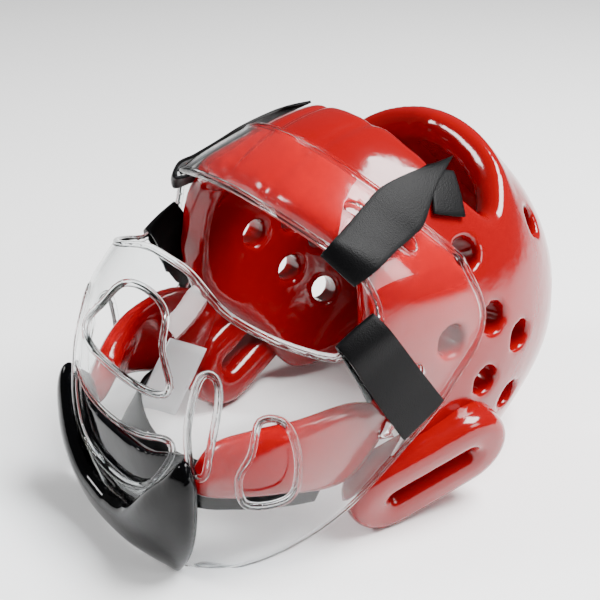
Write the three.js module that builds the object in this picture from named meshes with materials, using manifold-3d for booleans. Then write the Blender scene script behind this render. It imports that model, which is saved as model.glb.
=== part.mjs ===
// Karate head guard: a red foam cap with ear guards and jaw wings, and a clear face shield
// that is held by four black straps and ends in a foam chin pad.
// Head frame: X to the wearer's left, Y to the back, Z up, origin in the middle of the head.
// At the end the head guard is tipped back until its chin pad and ear guards lie on one level.
import * as THREE from 'three';
import { mergeVertices } from 'three/addons/utils/BufferGeometryUtils.js';
import Module from 'manifold-3d';

const wasm = await Module();
wasm.setup();

// Driving dimensions, in millimetres and degrees.
const CAP_HALF_WIDTH = 98;
const CAP_HALF_LENGTH = 126;
const CAP_HALF_HEIGHT = 106;
const CAP_WALL = 20;
const CROWN_TIP = 25;
const CAP_DEPTH_AT_EARS = 190;
const CAP_SQUARENESS = 0.9;
const ARCH_RISE = 5;
const ARCH_WIDTH = 24;
const VENT_RADIUS = 9;

const SHIELD_WALL = 3;
const SHIELD_HALF_WIDTH = 100;
const SHIELD_REACH = 152;
const SHIELD_TOP = 54;
const SHIELD_CORNER_DROP = 18;
const SHIELD_BOTTOM = -175;
const BRIDGE_RISE = 13;
const BRIDGE_SPREAD = 15;

const EAR_LENGTH = 46;
const EAR_RADIUS = 27;
const EAR_THICKNESS = 25;
const EAR_ROUNDING = 9;
const EAR_SLOT_LENGTH = 44;
const EAR_SLOT_WIDTH = 7;
const EAR_SLOPE = 55;
const EAR_LEAN = 17;

const WING_WALL = 15;
const PAD_WALL = 9;
const CUP_WALL = 11;
const STRAP_WIDTH = 28;
const STRAP_WALL = 1.8;
const PATCH_WALL = 1.5;
const CHIN_STRAP_WIDTH = 24;
const CHIN_STRAP_WALL = 2;
const LABEL_WIDTH = 34;
const LABEL_HEIGHT = 46;
const LABEL_WALL = 0.8;

const SEAT_GAP = 0.35;
const REST_FLAT = 1.2;

// Small helpers.
const degrees = THREE.MathUtils.degToRad;
const mix = THREE.MathUtils.lerp;
const vector = (x, y, z) => new THREE.Vector3(x, y, z);

/** Value of one column of a table at x, on a smooth curve through its rows. */
function tableAt(rows, key, column, x) {
  const last = rows.length - 1;
  const at = THREE.MathUtils.clamp(x, Math.min(rows[0][key], rows[last][key]),
    Math.max(rows[0][key], rows[last][key]));
  const rising = rows[last][key] > rows[0][key] ? 1 : -1;
  let i = 0;
  while (i < last - 1 && (at - rows[i + 1][key]) * rising > 0) i += 1;
  const slope = (a, b) => (rows[b][column] - rows[a][column]) / (rows[b][key] - rows[a][key]);
  const tangent = (k) => (k === 0 || k === last ? 0 : (slope(k - 1, k) + slope(k, k + 1)) / 2);
  const start = i === 0 ? slope(0, 1) : tangent(i);
  const end = i + 1 === last ? slope(last - 1, last) : tangent(i + 1);
  const span = rows[i + 1][key] - rows[i][key];
  const t = (at - rows[i][key]) / span;
  return rows[i][column] * (2 * t ** 3 - 3 * t ** 2 + 1) + start * span * (t ** 3 - 2 * t ** 2 + t)
    + rows[i + 1][column] * (3 * t ** 2 - 2 * t ** 3) + end * span * (t ** 3 - t ** 2);
}

/** Geometry with shared vertices, each moved to place(x, y, z). */
function reshape(source, place) {
  source.deleteAttribute('normal');
  source.deleteAttribute('uv');
  const geometry = mergeVertices(source, 1e-4);
  const position = geometry.getAttribute('position');
  for (let i = 0; i < position.count; i += 1) {
    const p = place(position.getX(i), position.getY(i), position.getZ(i));
    position.setXYZ(i, p.x, p.y, p.z);
  }
  return geometry;
}

function toSolid(geometry) {
  const merged = geometry.clone();
  merged.deleteAttribute('normal');
  merged.deleteAttribute('uv');
  const welded = mergeVertices(merged, 1e-4);
  return new wasm.Manifold(new wasm.Mesh({
    numProp: 3,
    vertProperties: new Float32Array(welded.getAttribute('position').array),
    triVerts: new Uint32Array(welded.index.array),
  }));
}

function toGeometry(solid) {
  const mesh = solid.getMesh();
  const geometry = new THREE.BufferGeometry();
  geometry.setAttribute('position', new THREE.BufferAttribute(new Float32Array(mesh.vertProperties), 3));
  geometry.setIndex(new THREE.BufferAttribute(new Uint32Array(mesh.triVerts), 1));
  return geometry;
}

/** The same piece for the other side of the head. */
function mirrored(geometry) {
  const copy = geometry.index ? geometry.clone() : mergeVertices(geometry);
  const position = copy.getAttribute('position');
  for (let i = 0; i < position.count; i += 1) position.setX(i, -position.getX(i));
  const index = Array.from(copy.index.array);
  for (let i = 0; i < index.length; i += 3) [index[i], index[i + 1]] = [index[i + 1], index[i]];
  copy.setIndex(index);
  return copy;
}

/** Matrix that puts local x, y and z on three directions at a point. */
function frameAt(point, x, y, z) {
  return new THREE.Matrix4().makeBasis(x, y, z).setPosition(point);
}

// The cap: an ellipsoid wall between a crown rim and a lower rim, wound round a crown axis that tips forward.
const capAxis = vector(0, -Math.sin(degrees(CROWN_TIP)), Math.cos(degrees(CROWN_TIP)));
const capFront = vector(0, -Math.cos(degrees(CROWN_TIP)), -Math.sin(degrees(CROWN_TIP)));
const capSide = vector(1, 0, 0);

// Rims of the cap: turn round the crown axis from the front, and how far each rim lies from that axis.
const CAP_RIMS = [
  { turn: 0, crown: 17, lower: 58 },
  { turn: 35, crown: 19, lower: 64 },
  { turn: 44, crown: 21, lower: 71 },
  { turn: 47, crown: 22, lower: 88 },
  { turn: 52, crown: 24, lower: 103 },
  { turn: 62, crown: 28, lower: 114 },
  { turn: 80, crown: 40, lower: 127 },
  { turn: 96, crown: 47, lower: 138 },
  { turn: 109, crown: 38, lower: 140 },
  { turn: 127, crown: 25, lower: 138 },
  { turn: 150, crown: 17, lower: 135 },
  { turn: 180, crown: 14, lower: 133 },
];

/** Outer face of the cap in a direction: an ellipsoid that is squarer at the brow and deeper at the ears. */
function capSkin(direction) {
  const { x, y, z } = direction;
  const level = Math.max(1e-6, Math.hypot(x, y));
  const front = THREE.MathUtils.smoothstep(-y, 0.1, 0.5) * (1 - THREE.MathUtils.smoothstep(z, 0, 0.45));
  const power = 2 + CAP_SQUARENESS * front;
  const ear = THREE.MathUtils.smoothstep(Math.abs(x) / level, 0.5, 0.85);
  const height = z > 0 ? CAP_HALF_HEIGHT : mix(CAP_HALF_HEIGHT, CAP_DEPTH_AT_EARS, ear);
  const flat = ((Math.abs(x) / CAP_HALF_WIDTH) ** power + (Math.abs(y) / CAP_HALF_LENGTH) ** power) ** (2 / power);
  return direction.clone().divideScalar(Math.sqrt(flat + (z / height) ** 2));
}

function capDirection(turn, lean) {
  return capAxis.clone().multiplyScalar(Math.cos(degrees(lean)))
    .addScaledVector(capFront, Math.sin(degrees(lean)) * Math.cos(degrees(turn)))
    .addScaledVector(capSide, Math.sin(degrees(lean)) * Math.sin(degrees(turn)));
}

function capOutward(turn, lean) {
  const step = 1.5;
  const down = capSkin(capDirection(turn, lean + step)).sub(capSkin(capDirection(turn, lean - step)));
  const round = capSkin(capDirection(turn + step, lean)).sub(capSkin(capDirection(turn - step, lean)));
  return down.cross(round).normalize();
}

/** Point on the cap at a turn and lean from the crown axis, inset from its outer face. */
function capPoint(turn, lean, inset = 0) {
  const fromRim = degrees(lean - tableAt(CAP_RIMS, 'turn', 'crown', Math.abs(turn))) * CAP_HALF_HEIGHT;
  const rear = THREE.MathUtils.smoothstep(Math.abs(turn), 95, 125);
  const rise = ARCH_RISE * rear * Math.exp(-((fromRim / ARCH_WIDTH) ** 2));
  return capSkin(capDirection(turn, lean)).addScaledVector(capOutward(turn, lean), rise - inset);
}

// Vent holes of the left side, mirrored to the right, by turn and lean from the crown axis.
const VENTS = [
  { turn: 77, lean: 59 },
  { turn: 127, lean: 56 },
  { turn: 90, lean: 80 },
  { turn: 106, lean: 89 },
  { turn: 92, lean: 102 },
  { turn: 111, lean: 112 },
  { turn: 72, lean: 85 },
  { turn: 140, lean: 84 },
  { turn: 137, lean: 117 },
];

function capBlank() {
  const around = 41;
  const face = 5;
  const rim = 3;
  const steps = 2 * face + 2 * rim;
  const radius = CAP_WALL / 2;
  // Distance along the wall from one rim, and inset, of step k round the wall's section.
  const section = (k, length) => {
    if (k <= face) return { along: mix(radius, length - radius, k / face), inset: 0 };
    if (k <= face + rim) {
      const a = Math.PI * (k - face) / rim;
      return { along: length - radius + radius * Math.sin(a), inset: radius - radius * Math.cos(a) };
    }
    if (k <= 2 * face + rim) {
      return { along: mix(length - radius, radius, (k - face - rim) / face), inset: CAP_WALL };
    }
    const a = Math.PI * (k - 2 * face - rim) / rim;
    return { along: radius - radius * Math.sin(a), inset: radius + radius * Math.cos(a) };
  };
  return reshape(new THREE.TorusGeometry(2, 1, steps, around), (x, y, z) => {
    const turn = THREE.MathUtils.radToDeg(Math.atan2(y, x));
    const spin = Math.atan2(z, Math.hypot(x, y) - 2);
    const k = Math.round(((spin / (2 * Math.PI) + 1) % 1) * steps);
    const crown = tableAt(CAP_RIMS, 'turn', 'crown', Math.abs(turn));
    const lower = tableAt(CAP_RIMS, 'turn', 'lower', Math.abs(turn));
    const length = degrees(lower - crown) * CAP_HALF_HEIGHT;
    const at = section(k, length);
    return capPoint(turn, mix(lower, crown, at.along / length), at.inset);
  });
}

function ventCutter(row, side) {
  const place = capPoint(row.turn, row.lean);
  const outward = capOutward(row.turn, row.lean);
  place.x *= side;
  outward.x *= side;
  const cutter = new THREE.CylinderGeometry(VENT_RADIUS, VENT_RADIUS, CAP_WALL * 3, 8);
  const turn = new THREE.Quaternion().setFromUnitVectors(vector(0, 1, 0), outward);
  return cutter.applyQuaternion(turn).translate(place.x, place.y, place.z);
}

// The ear guards: a bevelled stadium round a long slot, leaning in towards the jaw.
const earCentre = vector(CAP_HALF_WIDTH * 0.90, CAP_HALF_LENGTH * 0.06, -CAP_HALF_HEIGHT * 0.70);
const earUp = vector(Math.sin(degrees(EAR_LEAN)), 0, Math.cos(degrees(EAR_LEAN)));
const earOut = vector(Math.cos(degrees(EAR_LEAN)), 0, -Math.sin(degrees(EAR_LEAN)));
const earAlong = vector(0, Math.cos(degrees(EAR_SLOPE)), 0).addScaledVector(earUp, Math.sin(degrees(EAR_SLOPE)));
const earAcross = earOut.clone().cross(earAlong);

function stadium(length, radius, turns) {
  const shape = new THREE.Shape();
  shape.absarc(length / 2, 0, radius, -Math.PI / 2, Math.PI / 2, false);
  shape.absarc(-length / 2, 0, radius, Math.PI / 2, 1.5 * Math.PI, false);
  return new THREE.Shape(shape.getPoints(turns).slice(0, -1));
}

/** Ear guard, or the same grown by some clearance and with no slot. */
function earBlank(grow = 0) {
  const inner = EAR_RADIUS - EAR_ROUNDING;
  const outline = stadium(EAR_LENGTH, inner + grow, 6);
  if (grow === 0) {
    const slot = stadium(EAR_SLOT_LENGTH, EAR_SLOT_WIDTH / 2 + EAR_ROUNDING, 5);
    outline.holes.push(new THREE.Path(slot.getPoints().reverse()));
  }
  const depth = EAR_THICKNESS - 2 * EAR_ROUNDING;
  return new THREE.ExtrudeGeometry(outline, {
    depth: depth + 2 * grow,
    bevelEnabled: true,
    bevelSize: EAR_ROUNDING,
    bevelThickness: EAR_ROUNDING,
    bevelSegments: 2,
    curveSegments: 1,
  }).translate(0, 0, -depth / 2 - grow).applyMatrix4(frameAt(earCentre, earAlong, earAcross, earOut));
}

// The face shield: level sections from the band over the brow down to the chin.
// up, half, front, widest and rear are millimetres as shares of the named sizes below; square is the exponent.
const SHIELD_ROWS = [
  { up: 60, half: 0.86, front: 0.715, widest: 0, rear: -0.43, square: 2.0 },
  { up: 34, half: 0.97, front: 0.82, widest: 0, rear: -0.30, square: 2.2 },
  { up: 17, half: 0.995, front: 0.855, widest: -0.03, rear: -0.15, square: 2.6 },
  { up: 0, half: 1, front: 0.91, widest: -0.09, rear: -0.10, square: 2.7 },
  { up: -21, half: 1, front: 0.955, widest: -0.11, rear: -0.115, square: 2.9 },
  { up: -40, half: 1, front: 0.98, widest: -0.13, rear: -0.135, square: 2.9 },
  { up: -67, half: 0.985, front: 1, widest: -0.19, rear: -0.195, square: 2.9 },
  { up: -96, half: 0.945, front: 0.965, widest: -0.24, rear: -0.245, square: 2.8 },
  { up: -109, half: 0.915, front: 0.93, widest: -0.26, rear: -0.265, square: 2.8 },
  { up: -130, half: 0.84, front: 0.87, widest: -0.31, rear: -0.315, square: 2.7 },
  { up: -153, half: 0.71, front: 0.77, widest: -0.38, rear: -0.385, square: 2.6 },
  { up: -168, half: 0.57, front: 0.67, widest: -0.43, rear: -0.435, square: 2.4 },
  { up: -180, half: 0.42, front: 0.57, widest: -0.47, rear: -0.475, square: 2.2 },
];

const shieldAt = (column, up) => tableAt(SHIELD_ROWS, 'up', column, up);

/** Largest slice angle of the shield at a height, where its rear edge lies. */
function shieldTurnMax(up) {
  const share = (shieldAt('widest', up) - shieldAt('rear', up)) / (shieldAt('front', up) + shieldAt('widest', up));
  return Math.acos(Math.max(0, share) ** (shieldAt('square', up) / 2));
}

/** Point of the shield's outer face at a slice angle in radians and a height. */
function shieldSkin(turn, up) {
  const power = 2 / shieldAt('square', up);
  const x = SHIELD_HALF_WIDTH * shieldAt('half', up) * Math.sign(turn) * Math.abs(Math.sin(turn)) ** power;
  const widest = SHIELD_REACH * shieldAt('widest', up);
  const reach = SHIELD_REACH * shieldAt('front', up) + widest;
  return vector(x, widest - reach * Math.max(0, Math.cos(turn)) ** power, up);
}

function shieldOutward(turn, up) {
  const step = 0.02;
  const a = shieldSkin(turn + step, up).sub(shieldSkin(turn - step, up));
  const b = shieldSkin(turn, up + 1).sub(shieldSkin(turn, up - 1));
  return a.cross(b).normalize();
}

function shieldPoint(turn, up, lift = 0) {
  return shieldSkin(turn, up).addScaledVector(shieldOutward(turn, up), lift);
}

/** Height of the shield's top rim at a share of its turn: level over the brow, lower at the rear corners. */
function shieldTop(share) {
  return SHIELD_TOP - SHIELD_CORNER_DROP * Math.abs(share) ** 2.2;
}

/** The shield's wall before its openings are cut, between two lifts from its outer face. */
function shieldSheet(inner = -SHIELD_WALL, outer = 0) {
  const across = 26;
  const tall = 12;
  return reshape(new THREE.BoxGeometry(2, 2, 2, across, 1, tall), (x, y, z) => {
    const share = Math.sign(x) * (Math.abs(x) ** 0.9);
    const up = mix(SHIELD_BOTTOM, shieldTop(share), (z + 1) / 2);
    const turn = share * shieldTurnMax(up);
    return shieldPoint(turn, up, y < 0 ? outer : inner);
  });
}

// Rims of the eye opening by slice angle: heights as shares of the shield's reach.
const EYE_RIMS = [
  { turn: 0, low: -0.285, high: 0.105 },
  { turn: 17, low: -0.268, high: 0.093 },
  { turn: 36, low: -0.264, high: 0.072 },
  { turn: 44, low: -0.26, high: 0.059 },
  { turn: 52, low: -0.25, high: 0.032 },
  { turn: 57, low: -0.24, high: 0.002 },
  { turn: 61, low: -0.215, high: -0.028 },
  { turn: 63, low: -0.145, high: -0.05 },
  { turn: 65, low: -0.085, high: -0.07 },
];

function eyeRim(turn, column) {
  const at = Math.abs(turn);
  const rise = column === 'low' ? BRIDGE_RISE * Math.exp(-((at / BRIDGE_SPREAD) ** 2)) : 0;
  return SHIELD_REACH * tableAt(EYE_RIMS, 'turn', column, at) + rise;
}

function eyeCutter() {
  const last = EYE_RIMS[EYE_RIMS.length - 1].turn;
  return reshape(new THREE.BoxGeometry(2, 2, 2, 24, 1, 3), (x, y, z) => {
    const turn = x * last;
    const up = mix(eyeRim(turn, 'low'), eyeRim(turn, 'high'), (z + 1) / 2);
    return shieldPoint(degrees(turn), up, -y * 8);
  });
}

/** Rounded outline through a few points, as a shape. */
function roundOutline(points, steps = 5) {
  const curve = new THREE.CatmullRomCurve3(points.map(([x, y]) => vector(x, y, 0)), true, 'centripetal');
  return new THREE.Shape(curve.getPoints(points.length * steps).slice(0, -1)
    .map((p) => new THREE.Vector2(p.x, p.y)));
}

/** Cutter for an opening: its outline stands on the shield at a slice angle and height. */
function windowCutter(shape, turn, up, depth) {
  const centre = shieldPoint(degrees(turn), up);
  const outward = shieldOutward(degrees(turn), up);
  const side = vector(0, 0, 1).cross(outward).normalize();
  const rise = outward.clone().cross(side);
  return new THREE.ExtrudeGeometry(shape, { depth: 2 * depth, bevelEnabled: false })
    .translate(0, 0, -depth).applyMatrix4(frameAt(centre, side, rise, outward));
}

// Openings below the eyes: half outlines as shares of each opening's half width and height.
const NOSE = { halfWidth: 42, height: 44, up: -72, depth: 40 };
const MOUTH = { halfWidth: 49, height: 41, up: -129, depth: 45 };
const SIDE_SLOT = { width: 13, height: 54, turn: 34, up: -95, roll: 11 };
const CHEEK_SLOT = { width: 31, height: 50, turn: 62.5, up: -97, roll: 16 };
const STRAP_SLOT = { width: 42, height: 8 };
const UPPER_SLOT = { turn: 45, up: 33, roll: -6 };
const LOWER_SLOT = { turn: 83.5, up: -43, roll: 88 };

function noseShape() {
  const { halfWidth: w, height: h } = NOSE;
  return roundOutline([[0, h * 0.5], [w * 0.5, h * 0.40], [w * 0.72, h * 0.05], [w, -h * 0.28],
    [w * 0.8, -h * 0.46], [0, -h * 0.52], [-w * 0.8, -h * 0.46], [-w, -h * 0.28], [-w * 0.72, h * 0.05],
    [-w * 0.5, h * 0.40]], 2);
}

function mouthShape() {
  const { halfWidth: w, height: h } = MOUTH;
  return roundOutline([[0, h * 0.27], [w * 0.55, h * 0.33], [w * 0.95, h * 0.45], [w, h * 0.22],
    [w * 0.75, -h * 0.28], [w * 0.4, -h * 0.5], [0, -h * 0.56], [-w * 0.4, -h * 0.5], [-w * 0.75, -h * 0.28],
    [-w, h * 0.22], [-w * 0.95, h * 0.45], [-w * 0.55, h * 0.33]], 2);
}

function sideSlotShape() {
  const { width: w, height: h } = SIDE_SLOT;
  return roundOutline([[-w * 0.45, h * 0.45], [w * 0.1, h * 0.5], [w * 0.45, h * 0.3],
    [w * 0.5, -h * 0.2], [w * 0.45, -h * 0.45], [0, -h * 0.48], [-w * 0.4, -h * 0.2], [-w * 0.55, h * 0.1]], 2);
}

function cheekSlotShape() {
  const { width: w, height: h } = CHEEK_SLOT;
  return roundOutline([[-w * 0.4, h * 0.46], [0, h * 0.48], [w * 0.35, h * 0.15], [w * 0.5, -h * 0.28],
    [w * 0.25, -h * 0.45], [-w * 0.25, -h * 0.48], [-w * 0.48, -h * 0.2], [-w * 0.4, h * 0.1]], 2);
}

/** Cutter for an opening that is rolled in its place on the shield. */
function rolledCutter(shape, place, depth) {
  const turned = new THREE.Shape(shape.getPoints()
    .map((p) => p.rotateAround(new THREE.Vector2(0, 0), degrees(place.roll))));
  return windowCutter(turned, place.turn, place.up, depth);
}

function strapSlotShape() {
  const { width, height } = STRAP_SLOT;
  return stadium(width - height, height / 2, 4);
}

function shieldBlank() {
  let solid = toSolid(shieldSheet());
  solid = solid.subtract(toSolid(eyeCutter()));
  solid = solid.subtract(toSolid(windowCutter(noseShape(), 0, NOSE.up, NOSE.depth)));
  solid = solid.subtract(toSolid(windowCutter(mouthShape(), 0, MOUTH.up, MOUTH.depth)));
  const sides = [
    rolledCutter(sideSlotShape(), SIDE_SLOT, 14),
    rolledCutter(cheekSlotShape(), CHEEK_SLOT, 16),
    rolledCutter(strapSlotShape(), UPPER_SLOT, 12),
    rolledCutter(strapSlotShape(), LOWER_SLOT, 12),
  ];
  for (const cutter of sides) {
    solid = solid.subtract(toSolid(cutter)).subtract(toSolid(mirrored(cutter)));
  }
  return toGeometry(solid);
}

/** Pad with round ends along a path: its section's half height and half wall follow the path. */
function sweptPad(stations, along, round) {
  const curve = new THREE.CatmullRomCurve3(stations.map((s) => s.middle), false, 'centripetal');
  return reshape(new THREE.SphereGeometry(1, round, along), (x, y, z) => {
    const t = (1 + y) / 2;
    const index = Math.min(stations.length - 2, Math.floor(t * (stations.length - 1)));
    const local = t * (stations.length - 1) - index;
    const blend = (key) => mix(stations[index][key], stations[index + 1][key], local);
    const rise = stations[index].rise.clone().lerp(stations[index + 1].rise, local).normalize();
    const ahead = curve.getTangent(t);
    const side = rise.clone().cross(ahead).normalize();
    const ring = Math.hypot(x, z) || 1;
    const full = Math.max(1e-6, 1 - Math.abs(y) ** 8) ** 0.5;
    const bulge = (value) => Math.sign(value) * Math.abs(value / ring) ** 0.7 * full;
    const isPole = Math.hypot(x, z) < 1e-6;
    const point = curve.getPoint(t);
    if (isPole) return point;
    return point.addScaledVector(rise, bulge(x) * blend('half')).addScaledVector(side, bulge(z) * blend('wall'));
  });
}

/** Place inside the shield, at shares of its half width and its reach and of the cap's half height. */
function behindShield({ side, back, up }, mirror = 1) {
  return vector(mirror * side * SHIELD_HALF_WIDTH, back * SHIELD_REACH, up * CAP_HALF_HEIGHT);
}

// Jaw wing, from inside the ear guard to its tip beside the chin, behind the shield.
const WING_ROWS = [
  { side: 0.774, back: -0.199, up: -0.70, half: 0.27, lean: 0.16 },
  { side: 0.794, back: -0.431, up: -0.78, half: 0.26, lean: 0.16 },
  { side: 0.745, back: -0.580, up: -0.90, half: 0.22, lean: 0.14 },
  { side: 0.617, back: -0.680, up: -1.02, half: 0.19, lean: 0.12 },
  { side: 0.480, back: -0.729, up: -1.10, half: 0.14, lean: 0.10 },
];

function jawWing(grow = 0) {
  const stations = WING_ROWS.map((row) => ({
    middle: behindShield(row),
    half: row.half * CAP_HALF_HEIGHT + grow,
    wall: WING_WALL / 2 + grow,
    rise: vector(row.lean, 0, 1).normalize(),
  }));
  return sweptPad(stations, 12, 12);
}

// Edges of the chin pad and cup by slice angle: heights as shares of the shield's reach.
const PAD_EDGE = [
  { turn: 0, pad: -1.04, cup: -0.84 },
  { turn: 14, pad: -1.00, cup: -0.82 },
  { turn: 23, pad: -0.89, cup: -0.78 },
  { turn: 28, pad: -0.82, cup: -0.76 },
  { turn: 32, pad: -0.74, cup: -0.74 },
  { turn: 41, pad: -0.80, cup: -0.78 },
];
const PAD_TURN = { low: 61, high: 41 };
const CUP_TURN = { low: 48, high: 30 };

/** Foam sheet laid on the shield's chin, from one lift to another, up to its edge in the table. */
function chinFoam(column, turns, low, near, far, across, tall) {
  return reshape(new THREE.BoxGeometry(2, 2, 2, across, 1, tall), (x, y, z) => {
    const high = SHIELD_REACH * tableAt(PAD_EDGE, 'turn', column, Math.abs(x) * turns.high);
    const rise = (z + 1) / 2;
    const up = mix(low, high, rise);
    const turn = x * mix(turns.low, turns.high, rise);
    const rim = Math.min(1, 3 * (1 - Math.abs(x)), 2 * (1 - Math.abs(z)));
    const plump = 0.45 + 0.55 * Math.sqrt(Math.max(0, rim));
    const onOuter = (y < 0) === (far > near);
    return shieldPoint(degrees(turn), up, onOuter ? mix(near, far, plump) : near);
  });
}

function chinPad() {
  return chinFoam('pad', PAD_TURN, SHIELD_BOTTOM, 2 * SEAT_GAP, PAD_WALL, 20, 6);
}

function chinCup() {
  const near = -SHIELD_WALL - 3 * SEAT_GAP;
  return chinFoam('cup', CUP_TURN, SHIELD_BOTTOM + CUP_WALL / 2, near, near - CUP_WALL, 14, 6);
}

/** Flat strap through a grid of points: rows along it, each with the same number of points across it. */
function strapThrough(grid, wall) {
  const steps = grid.length - 1;
  const across = grid[0].length - 1;
  const at = (k, j) => grid[THREE.MathUtils.clamp(k, 0, steps)][THREE.MathUtils.clamp(j, 0, across)];
  return reshape(new THREE.BoxGeometry(across, 1, steps, across, 1, steps), (x, y, z) => {
    const k = Math.round(z + steps / 2);
    const j = Math.round(x + across / 2);
    const ahead = at(k + 1, j).clone().sub(at(k - 1, j));
    const side = at(k, j + 1).clone().sub(at(k, j - 1));
    return at(k, j).clone().addScaledVector(ahead.cross(side).normalize(), y * wall);
  });
}

/** Points along a smooth line through its stations. */
function pointsAlong(route, count) {
  return new THREE.CatmullRomCurve3(route, false, 'centripetal').getPoints(count);
}

const strapLift = STRAP_WALL / 2 + SEAT_GAP;
const STRAP_ACROSS = 3;

// Straps of the left side: stations from the free end over the cap and the shield, round the shield's rim and
// back inside. Each has its front and its rear edge: turn, and at, which is the lean on the cap and the height
// as a share of the reach on the shield. lift is how far the strap stands off its seat.
const UPPER_STRAP = [
  { on: 'cap', front: { turn: 60, at: 36.5 }, rear: { turn: 75, at: 32 }, lift: 6 },
  { on: 'cap', front: { turn: 47.5, at: 42.5 }, rear: { turn: 62.5, at: 43 }, lift: 5 },
  { on: 'shield', front: { turn: 38.6, at: 0.3 }, rear: { turn: 54.2, at: 0.27 }, lift: 0.8 },
  { on: 'shield', front: { turn: 37.6, at: 0.22 }, rear: { turn: 53.6, at: 0.22 }, lift: 0 },
  { on: 'shield', front: { turn: 36.3, at: 0.14 }, rear: { turn: 52.3, at: 0.15 }, lift: 0 },
  { on: 'shield', front: { turn: 36, at: 0.085 }, rear: { turn: 51.8, at: 0.07 }, lift: 1.5 },
  { on: 'rim', front: { turn: 36, at: 0.045 }, rear: { turn: 51, at: 0.003 }, lift: 0 },
  { on: 'inside', front: { turn: 36.5, at: 0.085 }, rear: { turn: 51, at: 0.065 }, lift: 1.6 },
  { on: 'inside', front: { turn: 37.5, at: 0.14 }, rear: { turn: 50.5, at: 0.12 }, lift: 1.7 },
  { on: 'inside', front: { turn: 38.5, at: 0.18 }, rear: { turn: 50.5, at: 0.17 }, lift: 1.4 },
];
const LOWER_STRAP = [
  { on: 'shield', front: { turn: 88.3, at: -0.4 }, rear: { turn: 89.3, at: -0.225 }, lift: 2 },
  { on: 'shield', front: { turn: 83, at: -0.355 }, rear: { turn: 86, at: -0.19 }, lift: 0.6 },
  { on: 'shield', front: { turn: 77.2, at: -0.315 }, rear: { turn: 80.9, at: -0.153 }, lift: 0 },
  { on: 'shield', front: { turn: 70, at: -0.268 }, rear: { turn: 74, at: -0.112 }, lift: 0 },
  { on: 'shield', front: { turn: 63, at: -0.225 }, rear: { turn: 67, at: -0.08 }, lift: 1.6 },
  { on: 'rim', front: { turn: 58.4, at: -0.2 }, rear: { turn: 61.6, at: -0.055 }, lift: 0 },
  { on: 'inside', front: { turn: 63, at: -0.225 }, rear: { turn: 67, at: -0.08 }, lift: 1.9 },
  { on: 'inside', front: { turn: 71, at: -0.28 }, rear: { turn: 75, at: -0.13 }, lift: 0.9 },
  { on: 'inside', front: { turn: 77, at: -0.33 }, rear: { turn: 80, at: -0.18 }, lift: 0 },
];

function strapPoint(row, share) {
  const turn = mix(row.front.turn, row.rear.turn, share);
  const at = mix(row.front.at, row.rear.at, share);
  if (row.on === 'cap') return capPoint(turn, at, -strapLift - row.lift);
  const lift = { shield: strapLift + row.lift, rim: -SHIELD_WALL / 2, inside: -SHIELD_WALL - strapLift - row.lift };
  return shieldPoint(degrees(turn), at * SHIELD_REACH, lift[row.on]);
}

/** A strap through its stations, or the room that it takes with some clearance round it. */
function strap(rows, grow = 0) {
  const steps = rows.length + 4;
  const lines = [];
  for (let j = 0; j <= STRAP_ACROSS; j += 1) {
    const share = j / STRAP_ACROSS + (2 * j / STRAP_ACROSS - 1) * grow / STRAP_WIDTH;
    const line = pointsAlong(rows.map((row) => strapPoint(row, share)), steps);
    const end = line[steps].clone().sub(line[steps - 1]).setLength(grow);
    line[steps].add(end);
    lines.push(line);
  }
  return strapThrough(lines[0].map((_, k) => lines.map((line) => line[k])), STRAP_WALL + 2 * grow);
}

function strapPatch() {
  const middle = { turn: 70, lean: 42 };
  const patch = new THREE.BoxGeometry(2, 2, PATCH_WALL, 2, 2, 1);
  const perTurn = 7;
  const perLean = 7;
  return reshape(patch, (x, y, z) => {
    const turn = middle.turn + x * perTurn;
    const lean = middle.lean - y * perLean;
    return capPoint(turn, lean, -2 * SEAT_GAP - PATCH_WALL / 2 - z);
  });
}

// Chin strap, from under one ear guard round the chin's underside, behind the shield.
const CHIN_STRAP = [
  { side: 0.666, back: -0.249, up: -0.98 },
  { side: 0.657, back: -0.390, up: -1.05 },
  { side: 0.568, back: -0.514, up: -1.14 },
  { side: 0.372, back: -0.580, up: -1.24 },
  { side: 0, back: -0.605, up: -1.30 },
];

function chinStrap() {
  const left = CHIN_STRAP.map((row) => behindShield(row));
  const right = CHIN_STRAP.slice(0, -1).reverse().map((row) => behindShield(row, -1));
  const edge = (rise) => pointsAlong([...left, ...right].map((p) => p.clone().setZ(p.z + rise)), 16);
  const upper = edge(CHIN_STRAP_WIDTH / 2);
  const lower = edge(-CHIN_STRAP_WIDTH / 2);
  return strapThrough(upper.map((p, k) => [p, lower[k]]), CHIN_STRAP_WALL);
}

// Label on the right jaw wing's inner face, behind the shield, and its turn from straight ahead.
const LABEL_PLACE = { side: -0.568, back: -0.390, up: -0.98, turn: 98 };

function innerLabel() {
  return new THREE.BoxGeometry(LABEL_WIDTH, LABEL_WALL, LABEL_HEIGHT).rotateZ(degrees(LABEL_PLACE.turn))
    .translate(...behindShield(LABEL_PLACE));
}

// Materials of the pieces.
const material = (color, roughness, transparent = false) => new THREE.MeshStandardMaterial({
  color, roughness, metalness: 0, transparent, opacity: transparent ? 0.3 : 1,
});
const redFoam = material('#c81420', 0.25);
const clearPlastic = material('#e8eef2', 0.05, true);
const blackFoam = material('#15191b', 0.25);
const blackWebbing = material('#101214', 0.8);
const labelCloth = material('#f2f2f0', 0.7);

// Assembly.
const head = new THREE.Group();
const add = (name, geometry, look) => {
  const mesh = new THREE.Mesh(geometry, look);
  mesh.name = name;
  head.add(mesh);
};
const addPair = (name, geometry, look) => {
  add(`${name}_left`, geometry, look);
  add(`${name}_right`, mirrored(geometry), look);
};

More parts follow.
